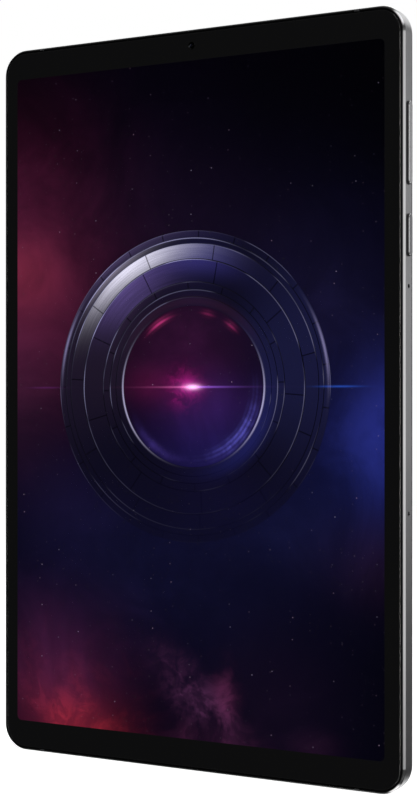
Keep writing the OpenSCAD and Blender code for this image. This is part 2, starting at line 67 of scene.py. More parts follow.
class Graph:
    """A node tree, written as short expressions of sockets and numbers."""

    def __init__(self, tree):
        self.tree = tree
        tree.nodes.clear()

    def add(self, kind, **settings):
        """A new node with its own settings."""
        node = self.tree.nodes.new(kind)
        for name, value in settings.items():
            setattr(node, name, value)
        return node

    def put(self, socket, value):
        """Links a socket to another one, or sets it to a value."""
        if isinstance(value, bpy.types.NodeSocket):
            self.tree.links.new(value, socket)
        else:
            socket.default_value = value

    def math(self, operation, *values, clamp=False):
        node = self.add("ShaderNodeMath", operation=operation, use_clamp=clamp)
        for socket, value in zip(node.inputs, values):
            self.put(socket, value)
        return node.outputs[0]

    def plus(self, *values):
        total = values[0]
        for value in values[1:]:
            total = self.math("ADD", total, value)
        return total

    def minus(self, a, b):
        return self.math("SUBTRACT", a, b)

    def times(self, *values):
        total = values[0]
        for value in values[1:]:
            total = self.math("MULTIPLY", total, value)
        return total

    def smooth(self, value, low, high, to_low=0.0, to_high=1.0):
        """An even step from one level to another while the value goes from low to high."""
        node = self.add("ShaderNodeMapRange", interpolation_type="SMOOTHSTEP")
        for name, item in zip(
            ("Value", "From Min", "From Max", "To Min", "To Max"),
            (value, low, high, to_low, to_high),
        ):
            self.put(node.inputs[name], item)
        return node.outputs["Result"]

    def bell(self, value, middle, width):
        """1 at the middle and falling off smoothly on both sides."""
        offset = self.math("DIVIDE", self.minus(value, middle), width)
        return self.math("EXPONENT", self.times(offset, offset, -1.0))

    def vector(self, operation, *values):
        node = self.add("ShaderNodeVectorMath", operation=operation)
        for socket, value in zip(node.inputs, values):
            self.put(socket, value)
        return node

    def combine(self, x, y, z):
        node = self.add("ShaderNodeCombineXYZ")
        for socket, value in zip(node.inputs, (x, y, z)):
            self.put(socket, value)
        return node.outputs[0]

    def separate(self, vector):
        node = self.add("ShaderNodeSeparateXYZ")
        self.put(node.inputs[0], vector)
        return node.outputs

    def colour(self, rgb, amount):
        """A colour scaled by a socket."""
        node = self.add("ShaderNodeVectorMath", operation="SCALE")
        node.inputs[0].default_value = rgb
        self.put(node.inputs["Scale"], amount)
        return node.outputs[0]

    def sum(self, colours):
        """Colours added as light."""
        total = colours[0]
        for item in colours[1:]:
            total = self.vector("ADD", total, item).outputs[0]
        return total

    def mix(self, factor, a, b):
        """Colour a where the factor is 0 and b where it is 1."""
        node = self.add("ShaderNodeMix", data_type="RGBA")
        self.put(node.inputs[0], factor)
        self.put(node.inputs[6], a)
        self.put(node.inputs[7], b)
        return node.outputs[2]

    def noise(self, vector, scale, detail=2.0, rough=0.5, distortion=0.0):
        node = self.add("ShaderNodeTexNoise", noise_dimensions="3D")
        self.put(node.inputs["Vector"], vector)
        node.inputs["Scale"].default_value = scale
        node.inputs["Detail"].default_value = detail
        node.inputs["Roughness"].default_value = rough
        node.inputs["Distortion"].default_value = distortion
        return node.outputs[0]

    def bump(self, height, strength, distance):
        node = self.add("ShaderNodeBump")
        node.inputs["Strength"].default_value = strength
        node.inputs["Distance"].default_value = distance
        self.put(node.inputs["Height"], height)
        return node.outputs[0]

    def object_coords(self):
        return self.add("ShaderNodeTexCoord").outputs["Object"]

    def finish(self, shader):
        output = self.add("ShaderNodeOutputMaterial")
        self.tree.links.new(shader, output.inputs["Surface"])


def linear(value):
    """An 8-bit display value as linear light."""
    value /= 255
    return value / 12.92 if value <= 0.04045 else ((value + 0.055) / 1.055) ** 2.4


def light(red, green, blue):
    """A colour in linear light from 8-bit display values."""
    return (linear(red), linear(green), linear(blue))


def between(g, value, low, high, soft):
    """1 from low to high, with soft edges, and 0 outside."""
    rising = g.smooth(value, low - soft, low + soft)
    falling = g.smooth(value, high + soft, high - soft)
    return g.times(rising, falling)


def shades(rgb, spread):
    """A darker and a paler shade of a colour, both opaque."""
    return [[channel * share for channel in rgb] + [1.0] for share in (1 - spread, 1 + spread)]


def new_material(name):
    material = bpy.data.materials.new(name)
    material.use_nodes = True
    return material, Graph(material.node_tree)


def set_sockets(node, **sockets):
    """Sets sockets by name, with underscores for the spaces in a name."""
    for socket, value in sockets.items():
        node.inputs[socket.replace("_", " ")].default_value = value


def new_finish(name, **sockets):
    """A new material, its graph, its shader with these sockets set, and its coordinates."""
    material, g = new_material(name)
    shader = g.add("ShaderNodeBsdfPrincipled")
    set_sockets(shader, **sockets)
    g.finish(shader.outputs[0])
    return material, g, shader, g.object_coords()


def surface(name, rgb, metallic, rough, spread, tint, grain, bump, **sockets):
    """A finish whose colour and roughness wander a little, with a fine grain.

    spread is how far the roughness strays, tint how far the colour does, grain is the
    size of the fine texture in millimetres, and bump how strongly it stands out.
    """
    material, g, shader, coords = new_finish(name, Metallic=metallic, **sockets)
    fine = g.noise(coords, 1 / (grain * MM), 3.0, 0.6)
    broad = g.noise(coords, 60.0, 3.0, 0.55)
    mixed = g.math("MULTIPLY_ADD", broad, 0.5, g.times(fine, 0.5))
    g.put(shader.inputs["Base Color"], g.mix(g.smooth(mixed, 0.3, 0.7), *shades(rgb, tint)))
    g.put(shader.inputs["Roughness"], g.smooth(mixed, 0.25, 0.75, rough - spread, rough + spread))
    g.put(shader.inputs["Normal"], g.bump(fine, bump, 0.01 * MM))
    return material


# ---------------------------------------------------------------- metal

CHAMFER_DEPTH = 0.99 * MM  # how far back from the glass the polished chamfer reaches


def anodised(name, rgb, polished_rgb):
    """Blasted and anodised aluminium, with a cut and polished chamfer round the front."""
    material, g, shader, coords = new_finish(name, Metallic=1.0)
    fine = g.noise(coords, 1 / (0.09 * MM), 2.0, 0.6)
    mottle = g.noise(coords, 1 / (0.7 * MM), 3.0, 0.6)
    broad = g.noise(coords, 35.0, 3.0, 0.5)
    depth = g.minus(g.separate(coords)[1], FRONT)
    polished = g.smooth(depth, CHAMFER_DEPTH + 0.03 * MM, CHAMFER_DEPTH - 0.03 * MM)
    # Painted highlight: the chamfer's polished colour is lightened in a band two thirds of the way
    # back, where the light catches it.
    chamfer_highlight_band = g.bell(depth, 0.66 * CHAMFER_DEPTH, 0.25 * CHAMFER_DEPTH)
    painted_highlight_level = g.plus(g.times(chamfer_highlight_band, 0.4), 0.66)
    grain = g.smooth(g.plus(g.times(fine, 0.75), g.times(mottle, 0.25)), 0.3, 0.7)
    blasted = g.mix(grain, *shades(rgb, 0.05))
    g.put(shader.inputs["Base Color"], g.mix(polished, blasted, g.colour(polished_rgb, painted_highlight_level)))
    rough = g.smooth(g.plus(g.times(grain, 0.4), g.times(broad, 0.6)), 0.2, 0.8, 0.31, 0.38)
    shine = g.smooth(broad, 0.3, 0.7, 0.12, 0.17)
    unpolished = g.minus(1.0, polished)
    g.put(shader.inputs["Roughness"], g.plus(g.times(rough, unpolished), g.times(shine, polished)))
    g.put(shader.inputs["Normal"], g.bump(g.times(fine, unpolished), 0.25, 0.004 * MM))
    return material


BUTTON_RIM = 0.10 * MM  # how far in from its cap a button's polished rim reaches
BUTTON_RIM_RGB = (0.90, 0.90, 0.91, 1.0)
# painted shade: the dark colour of the button walls inside their slot
BUTTON_WALL_SHADE_RGB = (0.07, 0.07, 0.072, 1.0)


def button_metal(name, rgb, node):
    """Satin anodised cap with a polished edge round its outer face, and painted shade on its
    walls.
    """
    material, g, shader, coords = new_finish(name, Metallic=1.0)
    fine = g.noise(coords, 1 / (0.1 * MM), 2.0, 0.6)
    broad = g.noise(coords, 300.0, 2.0, 0.5)
    outwards = g.separate(coords)[0]
    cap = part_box(node)[1][0]
    edge = between(g, outwards, cap - BUTTON_RIM, cap - 0.02 * MM, 0.012 * MM)
    # Painted shade: below the rim the walls take the dark wall colour, as the shade inside the
    # slot.
    above = g.smooth(outwards, cap - BUTTON_RIM - 0.02 * MM, cap - BUTTON_RIM)
    grain = g.smooth(g.plus(g.times(fine, 0.6), g.times(broad, 0.4)), 0.3, 0.7)
    cap_colour = g.mix(edge, g.mix(grain, *shades(rgb, 0.06)), BUTTON_RIM_RGB)
    g.put(shader.inputs["Base Color"], g.mix(above, BUTTON_WALL_SHADE_RGB, cap_colour))
    satin = g.minus(1.0, edge)
    rough = g.smooth(grain, 0.0, 1.0, 0.24, 0.32)
    g.put(shader.inputs["Roughness"], g.plus(g.times(rough, satin), g.times(edge, 0.16)))
    g.put(shader.inputs["Normal"], g.bump(g.times(fine, satin), 0.2, 0.003 * MM))
    return material


def turned_metal(name, rgb):
    """Polished metal, faintly streaked by turning."""
    material, g, shader, coords = new_finish(name, Metallic=1.0, Anisotropic=0.4)
    lines = g.noise(coords, 1 / (0.08 * MM), 1.0, 0.4)
    broad = g.noise(coords, 1 / (4 * MM), 2.0, 0.5)
    streaks = g.smooth(g.plus(g.times(lines, 0.5), g.times(broad, 0.5)), 0.3, 0.7)
    dull = [channel * 0.96 for channel in rgb]
    g.put(shader.inputs["Base Color"], g.mix(streaks, (*dull, 1.0), (*rgb, 1.0)))
    g.put(shader.inputs["Roughness"], g.smooth(streaks, 0.0, 1.0, 0.14, 0.18))
    return material


def woven_mesh(name, pitch):
    """Fine dark wire cloth."""
    material, g, shader, coords = new_finish(name, Metallic=0.8)
    warp, weft = (
        g.math("ABSOLUTE", g.math("SINE", g.times(axis, math.pi / pitch)))
        for axis in g.separate(coords)[:2]
    )
    wire = g.math("MAXIMUM", warp, weft)
    soot = g.noise(coords, 900.0, 2.0, 0.5)
    g.put(shader.inputs["Base Color"], g.mix(
        g.smooth(wire, 0.55, 0.85), (0.004, 0.004, 0.004, 1.0), (0.10, 0.10, 0.105, 1.0)))
    g.put(shader.inputs["Roughness"], g.smooth(soot, 0.3, 0.7, 0.35, 0.6))
    g.put(shader.inputs["Normal"], g.bump(wire, 0.8, 0.02 * MM))
    return material


# ---------------------------------------------------------------- glass


def clear_glass(name, ior, rough):
    """Clear glass or film, a little rougher in places up to the roughness given."""
    material, g, shader, coords = new_finish(name, Transmission_Weight=1.0, IOR=ior)
    film = g.noise(coords, 45.0, 4.0, 0.6, 0.6)
    g.put(shader.inputs["Base Color"], g.mix(film, (0.985, 0.985, 0.985, 1.0), WHITE))
    g.put(shader.inputs["Roughness"], g.smooth(film, 0.45, 0.75, 0.0, rough))
    return material


def coated_lens(name):
    """Dark lens glass whose coating shifts from blue to violet."""
    material, g, shader, coords = new_finish(
        name,
        Specular_IOR_Level=1.0,
        Coat_Weight=1.0,
        Coat_Roughness=0.03,
        Coat_Tint=(0.55, 0.6, 1.0, 1.0),
    )
    drift = g.noise(coords, 500.0, 2.0, 0.5)
    g.put(shader.inputs["Base Color"], g.mix(
        g.smooth(drift, 0.35, 0.65), (0.004, 0.006, 0.016, 1.0), (0.010, 0.006, 0.018, 1.0)))
    g.put(shader.inputs["Roughness"], g.smooth(drift, 0.3, 0.7, 0.03, 0.06))
    return material


# ---------------------------------------------------------------- the screen's picture

# The picture is a night sky in millimetres from the middle of the screen. Each glow is
# its middle, its reach across and up, its colour, and how cloudy it is from 0 to 1.
GLOWS = [
    ((-62, 36), (28, 34), light(80, 24, 50), 0.5),
    ((-60, 37), (15, 12), light(68, 17, 12), 0.6),
    ((-60, 0), (16, 20), light(22, 10, 22), 0.4),
    ((-25, 90), (38, 26), light(3, 1, 7), 0.3),
    ((-8, 52), (34, 22), light(15, 7, 22), 0.3),
    ((34, 30), (26, 24), light(9, 7, 22), 0.3),
    ((-3, 14), (21, 16), light(42, 11, 36), 0.5),
    ((-12, 4), (8, 5), light(60, 3, 30), 0.4),
    ((8, -1), (14, 7), light(32, 14, 58), 0.3),
    ((6, -12), (18, 14), light(24, 18, 70), 0.4),
    ((62, -10), (19, 18), light(26, 33, 100), 0.5),
    ((50, 20), (30, 28), light(10, 9, 32), 0.4),
    ((36, -32), (20, 15), light(9, 12, 40), 0.3),
    ((-42, -28), (17, 15), light(13, 9, 34), 0.3),
    ((-14, -47), (48, 24), light(9, 10, 34), 0.3),
    ((58, -42), (18, 12), light(16, 5, 13), 0.5),
    ((-50, -76), (26, 17), light(42, 14, 38), 0.5),
    ((26, -82), (18, 18), light(12, 4, 13), 0.4),
    ((38, -95), (7, 4), light(28, 9, 24), 0.7),
]
# The clouds at the foot of the picture: the same, but with how much of the light is torn
# and how much is even.
LOW_CLOUDS = [
    ((-46, -92), (19, 18), light(76, 18, 35), 0.5, 0.6),
    ((-37, -96), (14, 9), light(120, 24, 24), 0.7, 0.4),
    ((10.4, -83), (3.6, 7), light(62, 22, 46), 1.0, 0.1),
    ((6, -97), (12, 6), light(50, 18, 38), 1.0, 0.3),
]
STAR_MIDDLE = (0.2, 3.65)
RING_MIDDLE = (0.0, 3.8)
RING_DRIFT = -0.8  # how far the outer steps sit to the left of the inner ones
RING_INNER = 22.7
RING_OUTER = 43.9
INNER_RIM = 23.0  # radii of the two edges of the ring that catch the light
OUTER_RIM = 43.3
INNER_WALL = 21.0  # radius at which the inner wall shows
MAIN_LIGHT = 122  # where the light comes from, in degrees
RING_SINK = (-44.0, -16.0)  # heights from its middle between which the ring dims downwards
# The steps of the ring: inner and outer radius, colour in the light, the direction the
# light comes from and the angle over which it fades, both in degrees, and the number of
# panels in the step (0 for none).
RING_STEPS = [
    (22.7, 25.2, (13, 5, 13), 118, 60, 0),
    (25.4, 27.2, (15, 7, 17), 120, 46, 0),
    (27.4, 29.4, (25, 16, 31), 128, 32, 16),
    (29.6, 35.8, (75, 61, 111), 126, 23, 9),
    (36.1, 40.2, (219, 216, 235), 119, 24, 11),
    (40.4, 41.8, (112, 107, 122), 127, 17, 0),
    (42.0, 43.9, (57, 48, 76), 120, 27, 23),
]


def night_sky(g, x, z):
    """A dark blue dusk with clouded glows."""
    place = g.combine(x, z, 0.0)
    wisps = g.noise(place, 0.028, 9.0, 0.62, 0.9)
    haze = g.noise(g.vector("ADD", place, (40.0, 15.0, 7.0)).outputs[0], 0.016, 5.0, 0.5, 0.4)
    clouds = g.times(g.smooth(wisps, 0.32, 0.72, 0.25, 1.9), g.smooth(haze, 0.3, 0.7, 0.7, 1.3))
    dusk = g.times(g.smooth(z, 100.0, -20.0, 0.2, 1.0), g.smooth(x, 70.0, 30.0, 0.55, 1.0))
    layers = [g.colour(light(6, 5, 20), dusk)]
    for (middle_x, middle_z), (reach_x, reach_z), rgb, cloudy in GLOWS:
        falloff = g.times(g.bell(x, middle_x, reach_x), g.bell(z, middle_z, reach_z))
        texture = g.math("MULTIPLY_ADD", clouds, cloudy, 1 - cloudy)
        layers.append(g.colour(rgb, g.times(falloff, texture)))
    return g.sum(layers)


def low_clouds(g, x, z):
    """Lit clouds at the foot of the picture: red glows and a torn band that slopes."""
    folds = g.noise(g.combine(x, z, 3.0), 0.05, 10.0, 0.6, 0.7)
    threads = g.math("ABSOLUTE", g.minus(g.noise(g.combine(x, z, 21.0), 0.11, 7.0, 0.6, 0.8), 0.5))
    torn = g.times(g.smooth(folds, 0.4, 0.62), g.smooth(threads, 0.10, 0.0, 0.65, 1.5))
    layers = []
    for (middle_x, middle_z), (reach_x, reach_z), rgb, share, even in LOW_CLOUDS:
        falloff = g.times(g.bell(x, middle_x, reach_x), g.bell(z, middle_z, reach_z))
        layers.append(g.colour(rgb, g.times(falloff, g.math("MULTIPLY_ADD", torn, share, even))))
    slope_x, slope_z = 0.742, 0.67  # the band falls to the right at 42 degrees
    along = g.plus(g.times(x, slope_x), g.times(z, -slope_z))
    across = g.plus(g.times(x, slope_z), g.times(z, slope_x))
    band = g.times(g.bell(along, 57.0, 13.0), g.bell(across, -61.3, 5.0))
    return g.sum([*layers, g.colour(light(70, 34, 64), g.times(band, g.plus(torn, 0.1)))])


def stars(g, x, z, pitch, size, brightness):
    """One star in each cell of the pitch, most of them faint."""
    node = g.add("ShaderNodeTexVoronoi", voronoi_dimensions="2D", feature="F1")
    g.put(node.inputs["Vector"], g.combine(x, z, 0.0))
    node.inputs["Scale"].default_value = 1 / pitch
    chance = g.separate(node.outputs["Color"])
    spot = g.smooth(node.outputs["Distance"], size / pitch, 0.25 * size / pitch)
    power = g.math("POWER", chance[0], 7.0)
    strength = g.times(spot, power, brightness)
    return g.sum([
        g.colour((0.75, 0.72, 1.0), strength),
        g.colour((0.3, 0.0, 0.0), g.times(strength, chance[1])),
    ])


def panel_seams(g, angle, radius, count, turn):
    """Thin radial lines that part a step into equal panels: 1 on a line, 0 beside it."""
    share = g.math("FRACT", g.math("MULTIPLY_ADD", angle, count / math.tau, turn))
    offset = g.math("ABSOLUTE", g.minus(share, 0.5))
    return g.smooth(g.times(offset, radius, math.tau / count), 0.26, 0.1)


class RingPlace:
    """Where a point of the picture lies on the ring, in millimetres from its middle."""

    def __init__(self, g, x, z):
        self.g = g
        start = g.minus(x, RING_MIDDLE[0])
        self.up = g.minus(z, RING_MIDDLE[1])
        drift = g.smooth(self.distance(start), RING_INNER, RING_OUTER, 0.0, RING_DRIFT)
        self.across = g.minus(start, drift)
        self.radius = self.distance(self.across)
        self.side = g.math("DIVIDE", self.across, self.radius)
        self.height = g.math("DIVIDE", self.up, self.radius)

    def distance(self, across):
        """How far a point lies from the middle of the ring."""
        g = self.g
        return g.math("SQRT", g.plus(g.times(across, across), g.times(self.up, self.up)))

    def towards(self, degrees, spread):
        """1 in one direction from the middle, fading over a spread in degrees."""
        g = self.g
        turn = math.radians(degrees)
        facing = g.plus(g.times(self.side, math.cos(turn)), g.times(self.height, math.sin(turn)))
        return g.math("EXPONENT", g.times(g.minus(facing, 1.0), 2 / math.radians(spread) ** 2))


def ring_glint(g, at, outer):
    """The highlight on the edges of the steps, broken into patches."""
    noise = g.noise(g.combine(at.side, at.height, g.times(at.radius, 0.4)), 1.7, 2.0, 0.5)
    broken = g.plus(
        g.times(at.towards(MAIN_LIGHT, 60), outer),
        g.times(at.towards(170, 34), 0.5),
        g.times(at.towards(5, 34), 0.55),
        0.06,
    )
    whole = g.times(at.towards(MAIN_LIGHT, 34), outer, 0.6)
    return g.plus(g.times(g.smooth(noise, 0.5, 0.62), broken), whole)


def ring_shade(g, at, outer):
    """The dim colours of the metal where the light doesn't fall."""
    left = g.times(g.smooth(at.side, -0.3, -1.0), g.smooth(at.height, -0.7, 0.2))
    right = g.times(g.smooth(at.side, 0.4, 1.0), g.smooth(at.height, -0.9, 0.1))
    top = g.times(at.towards(86, 19), outer, outer, g.smooth(at.radius, 40.6, 40.1, 0.12, 1.0))
    return g.sum([
        g.colour(light(10, 9, 26), 1.0),
        g.colour(light(24, 15, 24), left),
        g.colour(light(17, 19, 50), right),
        g.colour(light(42, 39, 98), top),
    ])


def ring_metal(g, at):
    """The face of a plain, unbroken, stepped ring, lit from above on the left."""
    streaks = g.noise(g.combine(at.side, at.height, g.times(at.radius, 0.9)), 2.2, 3.0, 0.5)
    sheen = g.smooth(streaks, 0.3, 0.7, 0.84, 1.16)
    outer = g.smooth(at.radius, 28.0, 36.0, 0.25, 1.0)
    glint = ring_glint(g, at, outer)
    shade = ring_shade(g, at, outer)
    above = g.smooth(at.height, 0.0, 0.7)
    angle = g.math("ARCTAN2", at.up, at.across)
    layers = [g.colour(light(4, 3, 8), 1.0)]
    for low, high, bright, direction, spread, panels in RING_STEPS:
        face = between(g, at.radius, low, high, 0.1)
        if panels:
            seams = panel_seams(g, angle, at.radius, panels, low)
            face = g.times(face, g.math("MULTIPLY_ADD", seams, -0.7, 1.0))
        lift = g.smooth(at.radius, low, high, 0.66, 1.2)
        in_light = g.times(at.towards(direction, spread), above)
        edge = g.bell(at.radius, high, 0.13)
        layers += [
            g.vector("MULTIPLY", shade, g.combine(face, face, face)).outputs[0],
            g.colour(light(*bright), g.times(face, in_light, lift, sheen)),
            g.colour(light(140, 138, 178), g.times(edge, glint, 0.8)),
        ]

    sides = g.plus(at.towards(194, 30), at.towards(-14, 26))
    ends = g.plus(at.towards(163, 11), at.towards(14, 11))
    blue = g.times(g.bell(at.radius, 24.4, 2.6), at.towards(-40, 34))
    red = g.times(g.bell(at.radius, 24.0, 1.4), g.smooth(at.height, 0.3, 1.0))
    return g.sum([
        *layers,
        g.colour(light(176, 170, 206), g.times(g.bell(at.radius, INNER_RIM, 0.26), sides)),
        g.colour(light(118, 112, 150), g.times(g.bell(at.radius, OUTER_RIM, 0.4), ends)),
        g.colour(light(29, 8, 18), red),
        g.colour(light(22, 24, 78), blue),
    ])


def ring_inner_wall(g, at):
    """The light that falls on the inner wall of the ring: blue, violet and red."""
    patches = g.noise(g.combine(at.across, at.up, 5.0), 0.22, 5.0, 0.6, 0.5)
    glowing = g.smooth(patches, 0.35, 0.65, 0.5, 1.3)
    arcs = g.math("MULTIPLY_ADD", g.math("SINE", g.times(at.radius, 5.2)), 0.35, 0.75)
    dashes = g.plus(
        at.towards(121, 9),
        g.times(at.towards(76, 5), 0.25),
        g.times(at.towards(53, 5), 0.4),
    )
    blue = g.times(g.bell(at.radius, 20.4, 1.5), at.towards(-42, 24), glowing, arcs)
    violet = g.times(g.bell(at.radius, INNER_WALL, 1.2), at.towards(-125, 20), glowing)
    red = g.times(g.bell(at.radius, INNER_WALL, 0.8), dashes, arcs)
    return g.sum([
        g.colour(light(78, 76, 166), blue),
        g.colour(light(40, 30, 84), violet),
        g.colour(light(176, 48, 108), red),
    ])


def flare(g, x, z):
    """A bright star with a red cloud to its left and a thin level streak."""
    across = g.minus(x, STAR_MIDDLE[0])
    up = g.minus(z, STAR_MIDDLE[1])
    puffs = g.smooth(g.noise(g.combine(x, z, 11.0), 0.26, 6.0, 0.62, 0.8), 0.4, 0.64)
    far = g.math("SQRT", g.plus(g.times(across, across), g.times(up, up)))
    fading = g.math("EXPONENT", g.times(g.math("ABSOLUTE", across), -0.13))
    level = g.bell(up, 0.0, 0.26)
    streak = g.times(level, fading, g.bell(across, 0.0, 21.0))
    to_right = g.smooth(across, -2.0, 4.0)
    star = g.times(g.bell(across, 0.0, 2.1), g.bell(up, 0.0, 0.7))
    halo = g.times(g.bell(across, -0.5, 3.8), g.bell(up, 0.0, 1.8))
    cloud = g.times(g.bell(across, -3.0, 4.2), g.bell(up, 0.0, 4.4))
    return g.sum([
        g.colour((1.15, 0.75, 1.1), star),
        g.colour((0.30, 0.024, 0.20), halo),
        g.colour((0.24, 0.003, 0.10), g.times(cloud, g.plus(puffs, 0.25))),
        g.colour((0.010, 0.0003, 0.008), g.bell(far, 0.0, 12.0)),
        g.colour((0.80, 0.15, 0.46), g.times(streak, g.minus(1.0, to_right))),
        g.colour((0.48, 0.17, 1.15), g.times(streak, to_right)),
        g.colour((0.012, 0.055, 0.34), g.times(level, g.bell(across, 45.5, 5.5))),
        g.colour((0.035, 0.006, 0.05), g.times(level, g.bell(across, -50.0, 5.0))),
    ])


def display_panel(name):
    """The lit panel: black glass that shows the picture."""
    material, g, shader, coords = new_finish(
        name,
        Base_Color=(0.001, 0.001, 0.001, 1.0),
        Roughness=0.4,
        Specular_IOR_Level=0.0,
        Emission_Strength=1.0,
    )
    axes = g.separate(coords)
    x = g.times(axes[0], 1 / MM)
    z = g.times(g.minus(axes[2], MID_HEIGHT), 1 / MM)
    sky = g.sum([
        night_sky(g, x, z),
        low_clouds(g, x, z),
        stars(g, x, z, 6.4, 0.2, 0.4),
        stars(g, x, z, 3.1, 0.13, 0.14),
    ])
    at = RingPlace(g, x, z)
    mask = between(g, at.radius, RING_INNER, RING_OUTER, 0.12)
    shown = g.times(mask, g.smooth(at.up, *RING_SINK, 0.45, 1.0))
    picture = g.sum([
        g.mix(shown, sky, ring_metal(g, at)),
        ring_inner_wall(g, at),
        flare(g, x, z),
    ])
    g.put(shader.inputs["Emission Color"], picture)
    return material


# ---------------------------------------------------------------- finishes by slot

# Plain finishes: colour, metallic, roughness, how far the roughness and the colour stray,
# the size of the grain in millimetres, the strength of its bump, and further sockets.
PLAIN_FINISHES = {
    "antenna_plastic": ((0.085, 0.086, 0.09), 0.0, 0.5, 0.05, 0.08, 0.15, 0.25, {}),
    "island_glass": (
        (0.006, 0.006, 0.007), 0.0, 0.08, 0.03, 0.1, 2.0, 0.02,
        {"Coat_Weight": 1.0, "Coat_Roughness": 0.02},
    ),
    "flash_plastic": (
        (0.85, 0.80, 0.62), 0.0, 0.3, 0.08, 0.08, 0.3, 0.3, {"Subsurface_Weight": 0.3},
    ),
    "black_trim": (
        (0.004, 0.004, 0.0045), 0.0, 0.6, 0.06, 0.1, 0.1, 0.2, {"Specular_IOR_Level": 0.08},
    ),
    # The border's ink glows faintly: painted light standing in for the light that the cover glass
    # keeps from it.
    "bezel_ink": (
        (0.0052, 0.0052, 0.0055), 0.0, 0.5, 0.05, 0.08, 0.2, 0.05,
        {"Emission_Color": (0.0040, 0.0040, 0.0042, 1.0), "Emission_Strength": 1.0},
    ),
    "foam_black": ((0.012, 0.012, 0.012), 0.0, 0.85, 0.05, 0.15, 0.3, 0.5, {}),
    "chip_black": ((0.02, 0.02, 0.022), 0.0, 0.5, 0.06, 0.1, 0.1, 0.3, {}),
    "flex_amber": ((0.48, 0.20, 0.03), 0.0, 0.35, 0.08, 0.12, 1.2, 0.1, {"Coat_Weight": 0.4}),
    "film_white": ((0.86, 0.87, 0.88), 0.0, 0.45, 0.06, 0.02, 0.2, 0.05, {}),
    "guide_clear": (
        (0.84, 0.89, 0.90), 0.0, 0.12, 0.04, 0.02, 1.0, 0.05, {"Transmission_Weight": 0.6},
    ),
    "led_yellow": ((0.80, 0.66, 0.12), 0.0, 0.4, 0.06, 0.1, 0.2, 0.2, {}),
    "frame_metal": ((0.46, 0.47, 0.49), 1.0, 0.5, 0.07, 0.08, 0.3, 0.3, {}),
    "tin_steel": ((0.62, 0.62, 0.63), 1.0, 0.32, 0.07, 0.06, 0.3, 0.1, {"Anisotropic": 0.4}),
    "screw_steel": ((0.55, 0.56, 0.58), 1.0, 0.25, 0.06, 0.08, 0.2, 0.1, {}),
    "copper": ((0.82, 0.38, 0.20), 1.0, 0.3, 0.08, 0.1, 0.8, 0.1, {}),
    "graphite": ((0.04, 0.04, 0.043), 0.3, 0.55, 0.06, 0.15, 0.4, 0.2, {}),
    "battery_foil": ((0.035, 0.035, 0.038), 0.1, 0.4, 0.06, 0.1, 1.2, 0.3, {}),
    "tape_white": ((0.80, 0.80, 0.78), 0.0, 0.6, 0.06, 0.03, 0.4, 0.1, {}),
    "board_green": ((0.012, 0.10, 0.045), 0.0, 0.3, 0.06, 0.15, 0.5, 0.2, {"Coat_Weight": 0.5}),
    "pad_grey": ((0.52, 0.36, 0.42), 0.0, 0.8, 0.05, 0.06, 0.3, 0.3, {}),
    "black_plastic": ((0.015, 0.015, 0.017), 0.0, 0.45, 0.06, 0.1, 0.15, 0.25, {}),
    "gold_plate": ((0.85, 0.58, 0.20), 1.0, 0.25, 0.06, 0.08, 0.3, 0.1, {}),
}

SLOT_FINISHES = {
    "anodised_grey": anodised("anodised_grey", (0.36, 0.36, 0.37), (0.80, 0.80, 0.81)),
    "button_grey": button_metal("button_grey", (0.46, 0.46, 0.47), "volume_rocker"),
    "power_grey": button_metal("power_grey", (0.22, 0.22, 0.23), "power_button"),
    "ring_metal": turned_metal("ring_metal", (0.62, 0.62, 0.64)),
    "lens_glass": coated_lens("lens_glass"),
    "cover_glass": clear_glass("cover_glass", 1.5, 0.012),
    "touch_film": clear_glass("touch_film", 1.0, 0.0),
    "display_panel": display_panel("display_panel"),
    "mesh_grey": woven_mesh("mesh_grey", 0.14 * MM),
}
for plain, (*look, more) in PLAIN_FINISHES.items():
    SLOT_FINISHES[plain] = surface(plain, *look, **more)


def dress_nodes():
    """Gives every CAD node the finish of its slot."""
    for entry in frame["record"]["subparts"]:
        for slot in frame["nodes"][entry["node"]].material_slots:
            slot.material = SLOT_FINISHES[entry["material_slot"]]


# ---------------------------------------------------------------- small parts

SHARP_ANGLE = math.radians(30)
LATHE_STEPS = 72


def add_piece(name, mesh_builder, slot, body=CASE):
    """A new piece made by mesh_builder(bmesh), with a slot's finish, riding on a body."""
    built = bmesh.new()
    mesh_builder(built)
    bmesh.ops.recalc_face_normals(built, faces=built.faces)
    mesh = bpy.data.meshes.new(name)
    built.to_mesh(mesh)
    built.free()
    mesh.materials.append(SLOT_FINISHES[slot])
    piece = bpy.data.objects.new(name, mesh)
    bpy.context.scene.collection.objects.link(piece)
    mesh.shade_smooth()
    mesh.set_sharp_from_angle(angle=SHARP_ANGLE)
    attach(piece, body)
    return piece


def lathe(built, centre, section):
    """Turns a closed section of (radius, y) points, in millimetres, about a line along y."""
    columns = []
    for step in range(LATHE_STEPS):
        angle = math.tau * step / LATHE_STEPS
        across, up = math.cos(angle) * MM, math.sin(angle) * MM
        columns.append([
            built.verts.new((centre[0] + radius * across, y * MM, centre[1] + radius * up))
            for radius, y in section
        ])
    for step in range(LATHE_STEPS):
        near, far = columns[step], columns[(step + 1) % LATHE_STEPS]
        for i in range(len(section)):
            j = (i + 1) % len(section)
            if section[i][0] or section[j][0]:
                built.faces.new((near[i], near[j], far[j], far[i]))
    bmesh.ops.remove_doubles(built, verts=built.verts, dist=1e-7)


def dome(radius, rim, apex, foot, steps=8):
    """Section of a lens: a bulged front from the rim up to the apex, and a flat foot."""
    rise = [(radius * i / steps, apex + (rim - apex) * (i / steps) ** 2) for i in range(steps + 1)]
    return rise + [(radius, foot), (0.0, foot)]


